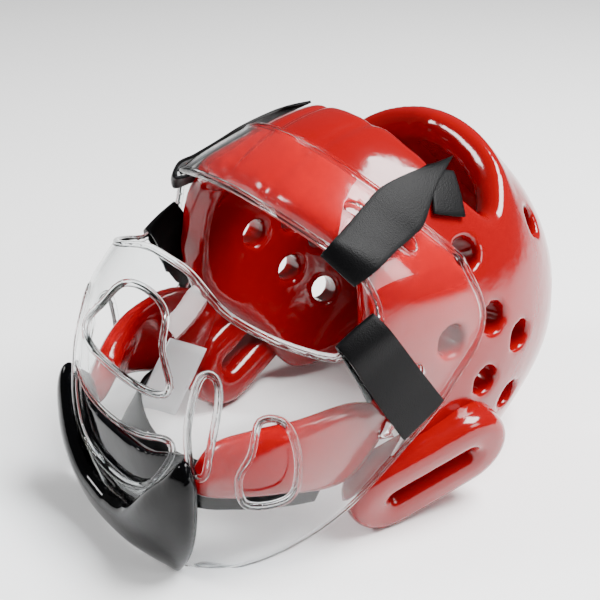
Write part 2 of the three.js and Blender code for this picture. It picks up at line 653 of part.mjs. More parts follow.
let cap = toSolid(capBlank());
for (const row of VENTS) {
  cap = cap.subtract(toSolid(ventCutter(row, 1))).subtract(toSolid(ventCutter(row, -1)));
}
const earRoom = earBlank(SEAT_GAP);
cap = cap.subtract(toSolid(earRoom)).subtract(toSolid(mirrored(earRoom)));
const shieldRoom = shieldSheet(-SHIELD_WALL - SEAT_GAP, CAP_WALL).translate(0, SEAT_GAP, SEAT_GAP);
cap = cap.subtract(toSolid(shieldRoom));
const rooms = [strap(UPPER_STRAP, SEAT_GAP), strap(LOWER_STRAP, SEAT_GAP), jawWing(SEAT_GAP)];
for (const room of rooms) cap = cap.subtract(toSolid(room)).subtract(toSolid(mirrored(room)));
cap = cap.decompose().sort((a, b) => b.volume() - a.volume())[0];

const jaw = toSolid(jawWing()).subtract(toSolid(earRoom));
const earGuard = earBlank();
const pad = chinPad();

// Tip of the head at which the chin pad and the ear guards reach equally low, found by halving.
const reachDown = (geometry, tip) => {
  const position = geometry.getAttribute('position');
  let low = Infinity;
  for (let i = 0; i < position.count; i += 1) {
    low = Math.min(low, position.getZ(i) * Math.cos(tip) - position.getY(i) * Math.sin(tip));
  }
  return low;
};
let tipLow = degrees(15);
let tipHigh = degrees(60);
for (let i = 0; i < 30; i += 1) {
  const tip = (tipLow + tipHigh) / 2;
  if (reachDown(pad, tip) < reachDown(earGuard, tip)) tipLow = tip;
  else tipHigh = tip;
}
const ground = vector(0, -Math.sin(tipLow), Math.cos(tipLow));
const groundAt = reachDown(pad, tipLow) + REST_FLAT;

/** The piece with what lies below the ground cut away, so that it rests on a flat. */
function rested(geometry) {
  return toGeometry(toSolid(geometry).trimByPlane(ground.toArray(), groundAt));
}

add('helmet_shell', toGeometry(cap), redFoam);
addPair('ear_guard', rested(earGuard), redFoam);
addPair('jaw_wing', toGeometry(jaw), redFoam);
add('face_shield', rested(shieldBlank()), clearPlastic);
add('chin_pad', rested(pad), blackFoam);
add('chin_cup', chinCup(), blackFoam);
addPair('strap_upper', strap(UPPER_STRAP), blackWebbing);
addPair('strap_lower', strap(LOWER_STRAP), blackWebbing);
addPair('strap_patch', strapPatch(), blackWebbing);
add('chin_strap', chinStrap(), blackWebbing);
add('inner_label', innerLabel(), labelCloth);

// Lie on the flats, with the origin under the middle.
head.rotation.x = -tipLow;
const part = new THREE.Group();
part.add(head);
part.updateMatrixWorld(true);
const bounds = new THREE.Box3().setFromObject(part, true);
const centre = bounds.getCenter(new THREE.Vector3());
head.position.set(-centre.x, -centre.y, -bounds.min.z);
part.updateMatrixWorld(true);

export default part;
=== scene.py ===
# %% [markdown]
# Karate head guard: a red dipped-foam cap, a clear face shield and black straps.
# The forms follow the CAD's own formulas in the head's frame, with many more points, because dipped foam and
# moulded plastic are smooth. Formulas are used in place of primitives shaped by hand, because every piece
# lies on a curved surface of another one. Sizes are in millimetres up to the last step, which gives metres.

# %% Load the frame
import math
import bmesh
import bpy
import numpy as np
from mathutils import Matrix, Vector


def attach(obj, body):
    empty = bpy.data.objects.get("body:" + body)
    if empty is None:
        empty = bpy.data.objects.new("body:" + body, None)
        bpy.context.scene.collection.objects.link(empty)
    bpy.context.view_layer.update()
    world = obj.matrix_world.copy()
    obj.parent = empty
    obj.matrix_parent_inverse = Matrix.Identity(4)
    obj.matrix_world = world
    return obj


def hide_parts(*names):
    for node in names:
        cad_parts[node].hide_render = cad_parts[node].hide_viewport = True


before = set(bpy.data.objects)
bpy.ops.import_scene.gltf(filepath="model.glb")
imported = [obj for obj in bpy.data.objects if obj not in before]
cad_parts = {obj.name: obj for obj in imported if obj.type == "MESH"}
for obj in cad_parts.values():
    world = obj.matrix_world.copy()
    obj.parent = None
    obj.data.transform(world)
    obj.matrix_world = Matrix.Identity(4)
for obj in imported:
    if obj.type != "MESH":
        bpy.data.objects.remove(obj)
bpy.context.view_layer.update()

# %% [markdown]
# The head guard lies tipped back on its chin and its ear guards. TIP is that tip, and HEAD_PLACE is where the
# middle of the cap's ellipsoid lies above the table.

# %% Sizes that the pieces share
TIP = math.radians(34.34)
HEAD_PLACE = Vector((0, 35.2, 98.8))
CAP_HALF = Vector((98, 126, 106))
CAP_WALL = 20
CROWN_TIP = math.radians(25)
CAP_DEPTH_AT_EARS = 190
CAP_SQUARENESS = 0.9
ARCH_RISE, ARCH_WIDTH = 5, 24
VENT_RADIUS = 9
GROOVE_SIDE, GROOVE_WIDTH, GROOVE_DEPTH = 18, 4, 2.2
SHIELD_WALL, SHIELD_HALF_WIDTH, SHIELD_REACH = 3, 100, 152
SHIELD_TOP, SHIELD_CORNER_DROP, SHIELD_BOTTOM = 54, 18, -175
BRIDGE_RISE, BRIDGE_SPREAD = 13, 15
BEAD_RADIUS = 2.1
STRAP_WALL = 1.8
GAP = 0.35
# Exponent that squares off a round section a little: 1 is round, 0 is square.
ROUNDNESS = 0.7
print("The head is tipped back by", round(math.degrees(TIP), 1), "degrees")


def to_part(point):
    """Head frame in millimetres to the part's frame in metres."""
    x, y, z = point
    c, s = math.cos(TIP), math.sin(TIP)
    return Vector((x, y * c + z * s, z * c - y * s)) * 0.001 + HEAD_PLACE * 0.001


def smoothstep(x, low, high):
    t = min(1, max(0, (x - low) / (high - low)))
    return t * t * (3 - 2 * t)


def mix(a, b, t):
    return a + (b - a) * t


def table_at(rows, x, column):
    """One column of a table at x, on a smooth curve through its rows. Column 0 is the key."""
    if rows[-1][0] < rows[0][0]:
        rows = rows[::-1]
    x = min(rows[-1][0], max(rows[0][0], x))
    i = max(k for k in range(len(rows) - 1) if k == 0 or rows[k][0] <= x)
    slope = lambda a, b: (rows[b][column] - rows[a][column]) / (rows[b][0] - rows[a][0])
    last = len(rows) - 1
    start = slope(0, 1) if i == 0 else (slope(i - 1, i) + slope(i, i + 1)) / 2
    end = slope(last - 1, last) if i + 1 == last else (slope(i, i + 1) + slope(i + 1, i + 2)) / 2
    span = rows[i + 1][0] - rows[i][0]
    t = (x - rows[i][0]) / span
    return (rows[i][column] * (2 * t**3 - 3 * t**2 + 1) + start * span * (t**3 - 2 * t**2 + t)
            + rows[i + 1][column] * (3 * t**2 - 2 * t**3) + end * span * (t**3 - t**2))


def curve_points(stations, count, closed=False):
    """Points along a smooth line through its stations."""
    pts = [Vector(p) for p in stations]
    n = len(pts)
    out = []
    spans = n if closed else n - 1
    for k in range(count if closed else count + 1):
        t = k / count * spans
        i = min(spans - 1, int(t))
        f = t - i
        pick = (lambda j: pts[j % n]) if closed else (lambda j: pts[min(n - 1, max(0, j))])
        a, b, c, d = pick(i - 1), pick(i), pick(i + 1), pick(i + 2)
        out.append(0.5 * ((2 * b) + (c - a) * f + (2 * a - 5 * b + 4 * c - d) * f**2
                          + (3 * b - a - 3 * c + d) * f**3))
    return out


# %% [markdown]
# Every piece is a mesh object at the origin, unturned and unscaled. Its points are a list of rings with equal
# counts, or two layers with a border. Doubles are merged and the faces are turned outwards.

# %% Mesh helpers
def new_object(name, vertices, faces, smooth=True):
    mesh = bpy.data.meshes.new(name)
    mesh.from_pydata([to_part(v) for v in vertices], [], faces)
    made = bmesh.new()
    made.from_mesh(mesh)
    bmesh.ops.remove_doubles(made, verts=made.verts, dist=1e-6)
    bmesh.ops.recalc_face_normals(made, faces=made.faces)
    made.to_mesh(mesh)
    made.free()
    mesh.polygons.foreach_set("use_smooth", [smooth] * len(mesh.polygons))
    obj = bpy.data.objects.new(name, mesh)
    bpy.context.collection.objects.link(obj)
    return obj


def grid_faces(rows, columns, wrap_rows=False, wrap_columns=False):
    faces = []
    for i in range(rows if wrap_rows else rows - 1):
        for j in range(columns if wrap_columns else columns - 1):
            a, b = i * columns + j, i * columns + (j + 1) % columns
            c, d = (i + 1) % rows * columns + (j + 1) % columns, (i + 1) % rows * columns + j
            faces.append((a, b, c, d))
    return faces


def ring_grid(name, rings, closed=False, caps=True):
    """Skin over a list of rings with equal counts; an open row of rings gets a face at each end."""
    count = len(rings[0])
    faces = grid_faces(len(rings), count, wrap_rows=closed, wrap_columns=True)
    if caps and not closed:
        faces.append(tuple(range(count))[::-1])
        faces.append(tuple(range((len(rings) - 1) * count, len(rings) * count)))
    return new_object(name, [p for ring in rings for p in ring], faces)


def double_skin(name, layers):
    """Two layers of points, each a list of rows, closed by faces round their border."""
    tall, across = len(layers[0]) - 1, len(layers[0][0]) - 1
    columns = across + 1
    count = columns * (tall + 1)
    near = grid_faces(tall + 1, columns)
    far = [tuple(v + count for v in face[::-1]) for face in near]
    border = list(range(columns)) + [r * columns + across for r in range(1, tall + 1)]
    border += [tall * columns + j for j in range(across - 1, -1, -1)]
    border += [r * columns for r in range(tall - 1, 0, -1)]
    rim = []
    for before, here in zip(border[-1:] + border[:-1], border):
        rim.append((here, before, before + count, here + count))
    return new_object(name, [p for layer in layers for row in layer for p in row], near + far + rim)


# %% Modifier helpers
def add_modifier(obj, kind, **settings):
    modifier = obj.modifiers.new(kind.title(), kind)
    for key, value in settings.items():
        setattr(modifier, key, value)
    return modifier


def apply_modifiers(obj):
    bpy.ops.object.select_all(action="DESELECT")
    bpy.context.view_layer.objects.active = obj
    obj.select_set(True)
    for modifier in list(obj.modifiers):
        bpy.ops.object.modifier_apply(modifier=modifier.name)


def subtract(obj, cutters):
    for cutter in cutters:
        add_modifier(obj, "BOOLEAN", operation="DIFFERENCE", object=cutter, solver="EXACT")
        apply_modifiers(obj)
        bpy.data.objects.remove(cutter)


def soften(obj, face_mm, rounds):
    """Dipped foam has no sharp edge: the mesh is rebuilt in even small faces and its edges are relaxed."""
    coarser = 1
    add_modifier(obj, "REMESH", mode="VOXEL", voxel_size=face_mm / 1000 * coarser)
    add_modifier(obj, "SMOOTH", iterations=rounds, factor=0.6)
    apply_modifiers(obj)
    obj.data.polygons.foreach_set("use_smooth", [True] * len(obj.data.polygons))


# %% Copies and places
def mirror_copy(obj, name):
    """The other side's piece, with its own mesh and its faces outwards."""
    mesh = obj.data.copy()
    mesh.transform(Matrix.Scale(-1, 4, Vector((1, 0, 0))))
    mesh.flip_normals()
    twin = bpy.data.objects.new(name, mesh)
    bpy.context.collection.objects.link(twin)
    return twin


def stand(obj):
    """Press flat on the table what would reach below it, such as the shield's edge beside the chin pad."""
    lowest = min(v.co.z for v in obj.data.vertices)
    for vertex in obj.data.vertices:
        vertex.co.z = max(0, vertex.co.z)
    print(obj.name, "reached", round(lowest * 1000, 2), "mm")


def place(obj, node, look):
    """The piece takes the place of its CAD node, with its finish."""
    stand(obj)
    obj.data.materials.clear()
    obj.data.materials.append(look)
    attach(obj, "root")
    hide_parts(node)
    print(obj.name, len(obj.data.polygons), "faces for", node)


# %% [markdown]
# Finishes. The cap is closed-cell foam dipped in red vinyl: the skin is glossy, and a slow waviness shows in
# its highlights. The chin pieces are dipped in black vinyl with a finer waviness. The shield is injection
# moulded polycarbonate. The straps are woven polyester with a soft pile face, so they are matt with a faint
# grain. The label is white woven cloth.

# %% Materials
def linear(code):
    """An sRGB hex value as linear light."""
    values = [int(code[k:k + 2], 16) / 255 for k in (1, 3, 5)]
    return [v / 12.92 if v <= 0.04045 else ((v + 0.055) / 1.055) ** 2.4 for v in values] + [1]


def material(name, code, roughness, **sockets):
    made = bpy.data.materials.new(name)
    made.use_nodes = True
    shader = made.node_tree.nodes["Principled BSDF"]
    shader.inputs["Base Color"].default_value = linear(code)
    shader.inputs["Roughness"].default_value = roughness
    for key, value in sockets.items():
        shader.inputs[key.replace("_", " ")].default_value = value
    return made


def add_node(made, kind, **settings):
    node = made.node_tree.nodes.new(kind)
    for key, value in settings.items():
        if key in node.inputs:
            node.inputs[key].default_value = value
        else:
            setattr(node, key, value)
    return node


def grain(made, size_mm, detail, strength, depth_mm):
    """Relief of a noise whose waves are size_mm long, in the piece's own coordinates."""
    tree = made.node_tree
    texture = add_node(made, "ShaderNodeTexNoise", Scale=1000 / size_mm, Detail=detail)
    where = add_node(made, "ShaderNodeTexCoord")
    tree.links.new(where.outputs["Object"], texture.inputs["Vector"])
    relief = add_node(made, "ShaderNodeBump", Strength=strength, Distance=depth_mm / 1000)
    tree.links.new(texture.outputs["Fac"], relief.inputs["Height"])
    tree.links.new(relief.outputs["Normal"], tree.nodes["Principled BSDF"].inputs["Normal"])


def red_foam():
    made = material("red_foam", "#800005", 0.12)
    grain(made, 22.222, 3, 0.5, 1.2)
    return made


def black_foam():
    made = material("black_foam", "#020203", 0.07, Specular_IOR_Level=0.2)
    grain(made, 6.25, 3, 0.25, 0.4)
    return made


def webbing():
    made = material("webbing", "#020203", 0.45, Specular_IOR_Level=0.1)
    grain(made, 0.7143, 2, 0.6, 0.35)
    return made


def label_cloth():
    made = material("label_cloth", "#e9ebec", 0.7)
    grain(made, 1.1111, 2, 0.3, 0.15)
    return made


def clear_plastic():
    """Clear plastic that lets the lamps through: for shadow rays it is plainly transparent."""
    made = material("clear_plastic", "#fbfdfd", 0.015, Transmission_Weight=1.0, IOR=1.26)
    tree = made.node_tree
    shader = tree.nodes["Principled BSDF"]
    out = tree.nodes["Material Output"]
    through = add_node(made, "ShaderNodeBsdfTransparent", Color=(0.94, 0.95, 0.96, 1))
    path = add_node(made, "ShaderNodeLightPath")
    blend = add_node(made, "ShaderNodeMixShader")
    tree.links.new(path.outputs["Is Shadow Ray"], blend.inputs["Fac"])
    tree.links.new(shader.outputs["BSDF"], blend.inputs[1])
    tree.links.new(through.outputs["BSDF"], blend.inputs[2])
    tree.links.new(blend.outputs["Shader"], out.inputs["Surface"])
    return made


RED, CLEAR, BLACK, WEB, LABEL = red_foam(), clear_plastic(), black_foam(), webbing(), label_cloth()
print("finishes:", ", ".join(look.name for look in (RED, CLEAR, BLACK, WEB, LABEL)))

# %% [markdown]
# The cap is one shell of foam about 20 mm thick, wound round a crown axis that tips forward. Its crown is
# open, and the back half of that opening stands up as an arch. It could be sculpted from a sphere, but a
# formula keeps it on the CAD's own surface. It is dipped, so the mesh is softened after the vents are cut.

# %% Cap
CAP_AXIS = Vector((0, -math.sin(CROWN_TIP), math.cos(CROWN_TIP)))
CAP_FRONT = Vector((0, -math.cos(CROWN_TIP), -math.sin(CROWN_TIP)))
CAP_SIDE = Vector((1, 0, 0))
# Turn from the front, then how far the crown rim and the lower rim lean from the crown axis.
CAP_RIMS = [(0, 17, 58), (35, 19, 64), (44, 21, 71), (47, 22, 88), (52, 24, 103), (62, 28, 114),
            (80, 40, 127), (96, 47, 138), (109, 38, 140), (127, 25, 138), (150, 17, 135), (180, 14, 133)]
# Turn and lean of each vent on one side.
VENTS = [(77, 59), (127, 56), (90, 80), (106, 89), (92, 102), (111, 112), (72, 85), (140, 84), (137, 117)]
# Half the angle, in degrees, over which a slope of the surface is measured.
NUDGE = 1.5


def cap_skin(d):
    """Outer surface of the cap in the direction d: an ellipsoid, squarer in front and deeper at the ears."""
    level = max(1e-6, math.hypot(d.x, d.y))
    front = smoothstep(-d.y, 0.1, 0.5) * (1 - smoothstep(d.z, 0, 0.45))
    power = 2 + CAP_SQUARENESS * front
    ear = smoothstep(abs(d.x) / level, 0.5, 0.85)
    height = CAP_HALF.z if d.z > 0 else mix(CAP_HALF.z, CAP_DEPTH_AT_EARS, ear)
    flat = ((abs(d.x) / CAP_HALF.x) ** power + (abs(d.y) / CAP_HALF.y) ** power) ** (2 / power)
    return d / math.sqrt(flat + (d.z / height) ** 2)


def cap_direction(turn, lean):
    t, a = math.radians(turn), math.radians(lean)
    level = CAP_FRONT * math.cos(t) + CAP_SIDE * math.sin(t)
    return CAP_AXIS * math.cos(a) + level * math.sin(a)


def cap_outward(turn, lean):
    down = cap_skin(cap_direction(turn, lean + NUDGE)) - cap_skin(cap_direction(turn, lean - NUDGE))
    around = cap_skin(cap_direction(turn + NUDGE, lean)) - cap_skin(cap_direction(turn - NUDGE, lean))
    return down.cross(around).normalized()


def cap_point(turn, lean, inset=0):
    from_rim = math.radians(lean - table_at(CAP_RIMS, abs(turn), 1)) * CAP_HALF.z
    rise = ARCH_RISE * smoothstep(abs(turn), 95, 125) * math.exp(-((from_rim / ARCH_WIDTH) ** 2))
    return cap_skin(cap_direction(turn, lean)) + cap_outward(turn, lean) * (rise - inset)


# %% Cap wall
def cap_rings(around=150, face=22, rim=8):
    """Section of the wall at each turn: outer face, lower rim, inner face and crown rim."""
    radius = CAP_WALL / 2
    rings = []
    for i in range(around):
        turn = 360 * i / around - 180
        crown, lower = table_at(CAP_RIMS, abs(turn), 1), table_at(CAP_RIMS, abs(turn), 2)
        length = math.radians(lower - crown) * CAP_HALF.z
        half_turn = [math.pi * k / rim for k in range(rim)]
        low = length - radius
        section = [(mix(radius, low, k / face), 0) for k in range(face)]
        section += [(low + radius * math.sin(a), radius - radius * math.cos(a)) for a in half_turn]
        section += [(mix(low, radius, k / face), CAP_WALL) for k in range(face)]
        section += [(radius - radius * math.sin(a), radius + radius * math.cos(a)) for a in half_turn]
        rings.append([grooved(turn, mix(crown, lower, along / length), inset) for along, inset in section])
    return rings


def grooved(turn, lean, inset):
    """Point of the wall, with the two grooves that run from the brow to the crown on the outer face."""
    point = cap_point(turn, lean, inset)
    outer = 1 - smoothstep(inset, 2, CAP_WALL / 2)
    ahead = 1 - smoothstep(abs(turn), 60, 85)
    beside = (abs(point.x) - GROOVE_SIDE) / GROOVE_WIDTH
    return point - cap_outward(turn, lean) * (GROOVE_DEPTH * outer * ahead * math.exp(-(beside ** 2)))


# %% Cap vents
def cylinder(name, centre, outward, radius, length, sides=28):
    side = outward.orthogonal().normalized()
    up = outward.cross(side)
    rings = []
    for end in (-length / 2, length / 2):
        rings.append([centre + outward * end + (side * math.cos(a) + up * math.sin(a)) * radius
                      for a in (2 * math.pi * k / sides for k in range(sides))])
    return ring_grid(name, rings)


def vent_cutters():
    cutters = []
    for side in (1, -1):
        for k, (turn, lean) in enumerate(VENTS):
            centre, outward = cap_point(turn, lean), cap_outward(turn, lean)
            centre.x *= side
            outward.x *= side
            cutters.append(cylinder(f"vent_{side}_{k}", centre, outward, VENT_RADIUS, CAP_WALL * 3))
    return cutters


# %% Finished cap
cap = ring_grid("cap_foam", cap_rings(), closed=True)
subtract(cap, vent_cutters())
soften(cap, face_mm=1.7, rounds=9)
place(cap, "helmet_shell", RED)

# %% [markdown]
# The ear guards are thick foam rings round a long slot, through which the wearer hears. A torus stretched in
# the middle would do, but a section carried round the slot gives the flatter faces of the real ones.

# %% Ear guards
EAR_LENGTH, EAR_RADIUS, EAR_THICKNESS, EAR_SLOT_WIDTH = 46, 27, 25, 7
EAR_SLOPE, EAR_LEAN = math.radians(55), math.radians(17)
EAR_CENTRE = Vector((CAP_HALF.x * 0.90, CAP_HALF.y * 0.06, -CAP_HALF.z * 0.70))
EAR_UP = Vector((math.sin(EAR_LEAN), 0, math.cos(EAR_LEAN)))
EAR_OUT = Vector((math.cos(EAR_LEAN), 0, -math.sin(EAR_LEAN)))
EAR_ALONG = Vector((0, math.cos(EAR_SLOPE), 0)) + EAR_UP * math.sin(EAR_SLOPE)
EAR_ACROSS = EAR_OUT.cross(EAR_ALONG)


def rounded(value, power):
    """A power of the value that keeps its sign."""
    return math.copysign(abs(value) ** power, value)


def ear_guard(bend=30, straight=9, sides=36):
    inner, outer = EAR_SLOT_WIDTH / 2, EAR_RADIUS
    middle, reach, depth = (inner + outer) / 2, (outer - inner) / 2, EAR_THICKNESS / 2
    end, square = EAR_LENGTH / 2, math.pi / 2
    path = [(end, a) for a in np.linspace(-square, square, bend)]
    path += [(mix(end, -end, k / straight), square) for k in range(1, straight)]
    path += [(-end, a) for a in np.linspace(square, 3 * square, bend)]
    path += [(mix(-end, end, k / straight), -square) for k in range(1, straight)]
    rings = []
    for along, angle in path:
        ring = []
        for k in range(sides):
            a = 2 * math.pi * k / sides
            r = middle + reach * rounded(math.cos(a), ROUNDNESS)
            flat = EAR_ALONG * (along + r * math.cos(angle)) + EAR_ACROSS * (r * math.sin(angle))
            ring.append(EAR_CENTRE + flat + EAR_OUT * (depth * rounded(math.sin(a), ROUNDNESS)))
        rings.append(ring)
    return ring_grid("ear_ring_left", rings, closed=True)


ear = ear_guard()
soften(ear, face_mm=1.2, rounds=6)
place(mirror_copy(ear, "ear_ring_right"), "ear_guard_right", RED)
place(ear, "ear_guard_left", RED)

# %% [markdown]
# The jaw wings run from inside the ear guards to the corners of the chin, and grow lower towards their tips.
# They are one curved pad each, so a rounded section is carried along a line, with its height from a table.

# %% Jaw wings
# Side, back, up and half height as shares of the cap's half sizes, and then the lean outwards.
WING_ROWS = [(0.79, -0.24, -0.70, 0.27, 0.16), (0.81, -0.52, -0.78, 0.26, 0.16),
             (0.76, -0.70, -0.90, 0.22, 0.14), (0.63, -0.82, -1.02, 0.19, 0.12),
             (0.49, -0.88, -1.10, 0.14, 0.10)]
WING_WALL = 15


def in_cap(side, back, up):
    """Place at shares of the cap's half sizes."""
    return Vector((side * CAP_HALF.x, back * CAP_HALF.y, up * CAP_HALF.z))


def jaw_wing(along=56, round_count=40):
    line = curve_points([in_cap(*row[:3]) for row in WING_ROWS], along)
    rings = []
    for k, point in enumerate(line):
        t = k / along
        y = -1 + 2 * t
        place_in = t * (len(WING_ROWS) - 1)
        i = min(len(WING_ROWS) - 2, int(place_in))
        half = mix(WING_ROWS[i][3], WING_ROWS[i + 1][3], place_in - i) * CAP_HALF.z
        lean = mix(WING_ROWS[i][4], WING_ROWS[i + 1][4], place_in - i)
        ahead = (line[min(along, k + 1)] - line[max(0, k - 1)]).normalized()
        rise = Vector((lean, 0, 1)).normalized()
        side = rise.cross(ahead).normalized()
        full = max(0.02, (1 - abs(y) ** 8)) ** 0.5
        crease = 1 + 0.05 * math.sin(9 * t + 1)
        ring = [point + rise * (rounded(math.cos(a), ROUNDNESS) * half * full)
                + side * (rounded(math.sin(a), ROUNDNESS) * WING_WALL / 2 * full * crease)
                for a in (2 * math.pi * j / round_count for j in range(round_count))]
        rings.append(ring)
    return ring_grid("jaw_pad_left", rings)


jaw = jaw_wing()
soften(jaw, face_mm=1.3, rounds=6)
place(mirror_copy(jaw, "jaw_pad_right"), "jaw_wing_right", RED)
place(jaw, "jaw_wing_left", RED)

# %% [markdown]
# The shield is one moulded sheet of clear plastic. It is a smooth double skin with its openings cut, and its
# outer, eye, nose, mouth, side and cheek rims carry thick clear beads, as moulded edges do. It could be a bent
# plane with a Solidify modifier, but a table of horizontal sections keeps it on the CAD's surface.

# %% Shield surface
# Height, then half width, front, widest line and rear as shares of the named sizes, and the exponent.
SHIELD_ROWS = [(60, 0.86, 0.715, 0, -0.43, 2.0), (34, 0.97, 0.82, 0, -0.30, 2.2),
               (17, 0.995, 0.855, -0.03, -0.15, 2.6), (0, 1, 0.91, -0.09, -0.10, 2.7),
               (-21, 1, 0.955, -0.11, -0.115, 2.9), (-40, 1, 0.98, -0.13, -0.135, 2.9),
               (-67, 0.985, 1, -0.19, -0.195, 2.9), (-96, 0.945, 0.965, -0.24, -0.245, 2.8),
               (-109, 0.915, 0.93, -0.26, -0.265, 2.8), (-130, 0.84, 0.87, -0.31, -0.315, 2.7),
               (-153, 0.71, 0.77, -0.38, -0.385, 2.6), (-168, 0.57, 0.67, -0.43, -0.435, 2.4),
               (-180, 0.42, 0.57, -0.47, -0.475, 2.2)]
# Turn, then the lower and upper rim of the eye opening as shares of the reach.
EYE_RIMS = [(0, -0.285, 0.105), (17, -0.268, 0.093), (36, -0.264, 0.072), (44, -0.26, 0.059),
            (52, -0.25, 0.032), (57, -0.24, 0.002), (61, -0.215, -0.028), (63, -0.145, -0.05),
            (65, -0.085, -0.07)]


def shield_skin(turn, up):
    half, front, widest, power = (table_at(SHIELD_ROWS, up, column) for column in (1, 2, 3, 5))
    power = 2 / power
    x = SHIELD_HALF_WIDTH * half * rounded(math.sin(turn), power)
    ahead = SHIELD_REACH * (front + widest) * max(0, math.cos(turn)) ** power
    return Vector((x, SHIELD_REACH * widest - ahead, up))


def shield_turn_max(up):
    front, widest, rear, power = (table_at(SHIELD_ROWS, up, column) for column in (2, 3, 4, 5))
    return math.acos(max(0, (widest - rear) / (front + widest)) ** (power / 2))


def shield_outward(turn, up):
    around = shield_skin(turn + 0.02, up) - shield_skin(turn - 0.02, up)
    rise = shield_skin(turn, up + 1) - shield_skin(turn, up - 1)
    return around.cross(rise).normalized()


def shield_point(turn, up, lift=0):
    return shield_skin(turn, up) + shield_outward(turn, up) * lift


def shield_edge(share, level):
    """Turn and height on the sheet at shares of its width and height."""
    top = SHIELD_TOP - SHIELD_CORNER_DROP * abs(share) ** 2.2
    up = mix(SHIELD_BOTTOM, top, level)
    return share * shield_turn_max(up), up


def shield_sheet(across=130, tall=90):
    shares = [rounded(-1 + 2 * k / across, 0.9) for k in range(across + 1)]
    layers = []
    for lift in (0, -SHIELD_WALL):
        layers.append([[shield_point(*shield_edge(share, j / tall), lift) for share in shares]
                       for j in range(tall + 1)])
    return double_skin("clear_shield", layers)


# %% [markdown]
# The real openings are moulded. Here the nose, mouth, side and cheek openings and the strap slots are drawn
# flat, laid against the shield at their turn and height, and cut straight through it by Boolean modifiers.
# The eye opening is too wide for that, so its cutter follows the shield's curve.

# %% Shield openings
# Outlines as shares of an opening's size. Nose and mouth are drawn for one side, so "half" is their half
# width. For the side and cheek slots, "half" is the whole width.
NOSE = dict(half=42, height=44, up=-72, turn=0, roll=0, outline=[
    (0, 0.5), (0.5, 0.40), (0.72, 0.05), (1, -0.28), (0.8, -0.46), (0, -0.52)], twin=True)
MOUTH = dict(half=49, height=41, up=-129, turn=0, roll=0, outline=[
    (0, 0.27), (0.55, 0.33), (0.95, 0.45), (1, 0.22), (0.75, -0.28), (0.4, -0.5), (0, -0.56)], twin=True)
SIDE_SLOT = dict(half=13, height=54, up=-95, turn=34, roll=11, outline=[
    (-0.45, 0.45), (0.1, 0.5), (0.45, 0.3), (0.5, -0.2),
    (0.45, -0.45), (0, -0.48), (-0.4, -0.2), (-0.55, 0.1)])
CHEEK_SLOT = dict(half=31, height=50, up=-97, turn=62.5, roll=16, outline=[
    (-0.4, 0.46), (0, 0.48), (0.35, 0.15), (0.5, -0.28),
    (0.25, -0.45), (-0.25, -0.48), (-0.48, -0.2), (-0.4, 0.1)])
STRAP_SLOTS = [dict(turn=45, up=33, roll=-6), dict(turn=83.5, up=-43, roll=88)]
STRAP_SLOT_WIDTH, STRAP_SLOT_HEIGHT = 42, 8


def window_outline(window, count=72):
    points = [(x * window["half"], y * window["height"]) for x, y in window["outline"]]
    if window.get("twin"):
        points += [(-x, y) for x, y in points[-2:0:-1]]
    return [(p.x, p.y) for p in curve_points([(x, y, 0) for x, y in points], count, closed=True)]


def slot_outline():
    run, radius = (STRAP_SLOT_WIDTH - STRAP_SLOT_HEIGHT) / 2, STRAP_SLOT_HEIGHT / 2
    right = [(run + radius * math.sin(a), -radius * math.cos(a)) for a in np.linspace(0, math.pi, 12)]
    return right + [(-x, -y) for x, y in right]


def window_frame(window, side):
    turn = math.radians(window["turn"]) * side
    centre, outward = shield_point(turn, window["up"]), shield_outward(turn, window["up"])
    along = Vector((0, 0, 1)).cross(outward).normalized()
    return centre, along, outward.cross(along), outward


def rolled(outline, window, side):
    roll = math.radians(window["roll"])
    c, s = math.cos(roll), math.sin(roll)
    return [((x * c - y * s) * side, x * s + y * c) for x, y in outline]


def window_cutter(outline, window, side, depth):
    centre, along, rise, outward = window_frame(window, side)
    rings = [[centre + along * x + rise * y + outward * end for x, y in rolled(outline, window, side)]
             for end in (-depth, depth)]
    return ring_grid("window", rings)


def on_shield(point, direction):
    """Where a line along a direction meets the shield's outer face, found by halving."""
    low, high = -60.0, 60.0
    for _ in range(28):
        middle = (low + high) / 2
        if shield_level(point + direction * middle) < 0:
            low = middle
        else:
            high = middle
    return point + direction * low


def shield_level(point):
    """Below nought inside the shield's section at that height, above it outside."""
    half, front, widest, power = (table_at(SHIELD_ROWS, point.z, column) for column in (1, 2, 3, 5))
    reach = SHIELD_REACH * (front + widest)
    ahead = max(0, SHIELD_REACH * widest - point.y) / reach
    return (abs(point.x) / (SHIELD_HALF_WIDTH * half)) ** power + ahead ** power - 1


def window_path(outline, window, side):
    centre, along, rise, outward = window_frame(window, side)
    path = []
    for x, y in rolled(outline, window, side):
        path.append(on_shield(centre + along * x + rise * y, outward) - outward * SHIELD_WALL / 2)
    return path


# %% Eye opening
def eye_rim(turn, column):
    at = abs(turn)
    rise = BRIDGE_RISE * math.exp(-((at / BRIDGE_SPREAD) ** 2)) if column == 1 else 0
    return SHIELD_REACH * table_at(EYE_RIMS, at, column) + rise


def eye_turns(count=90):
    """Turns across the eye opening, a little wider apart at the nose and closer at its corners."""
    return [EYE_RIMS[-1][0] * rounded(-1 + 2 * k / count, 0.8) for k in range(count + 1)]


def eye_path(lift):
    turns = eye_turns()
    lower = [shield_point(math.radians(t), eye_rim(t, 1), lift) for t in turns]
    upper = [shield_point(math.radians(t), eye_rim(t, 2), lift) for t in turns[::-1]]
    return lower + upper


